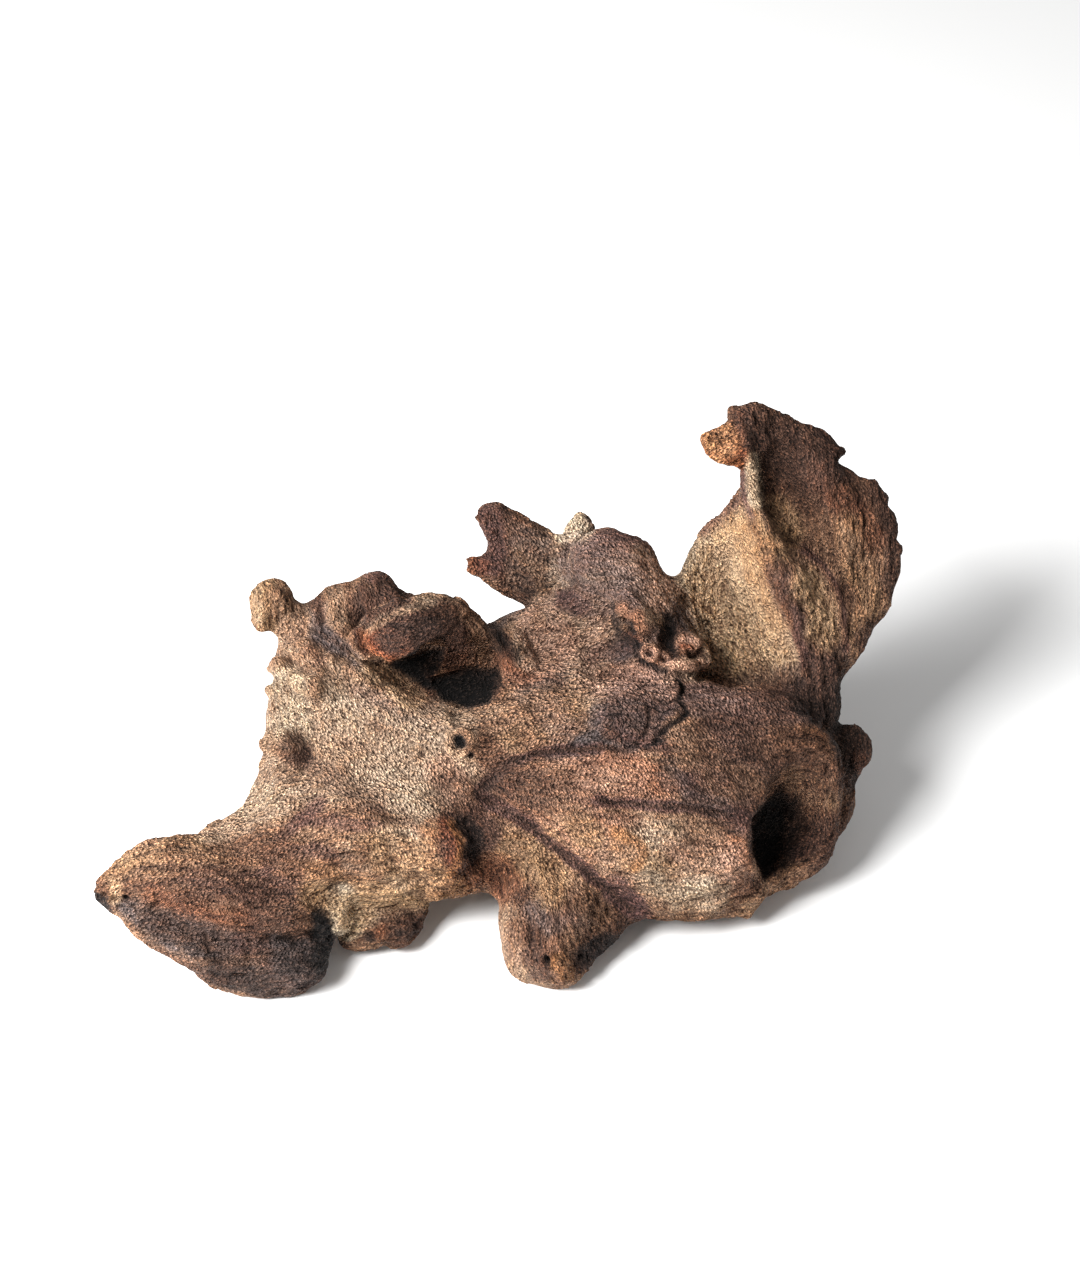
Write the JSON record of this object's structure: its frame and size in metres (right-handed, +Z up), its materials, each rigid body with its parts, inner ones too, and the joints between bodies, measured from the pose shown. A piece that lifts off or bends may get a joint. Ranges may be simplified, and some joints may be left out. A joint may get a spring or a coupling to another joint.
{
  "type": "mopani root",
  "caption": "Gnarled piece of weathered hardwood root with a tall curled fin, a low foot, lumps, knots and hollows, to lie in a tank or on a shelf.",
  "frame": {"origin": "middle of the bounding box in plan, at the level of the surface it lies on", "axes": "+X along the root's length, from the low foot towards the tall fin; +Y away from the side that the picture shows; +Z up"},
  "size_m": [0.3006, 0.1738, 0.1663],
  "materials": {
    "root_wood": "matt, weathered"
  },
  "bodies": {
    "root": {"mopani_root": "root_wood"}
  },
  "joints": []
}
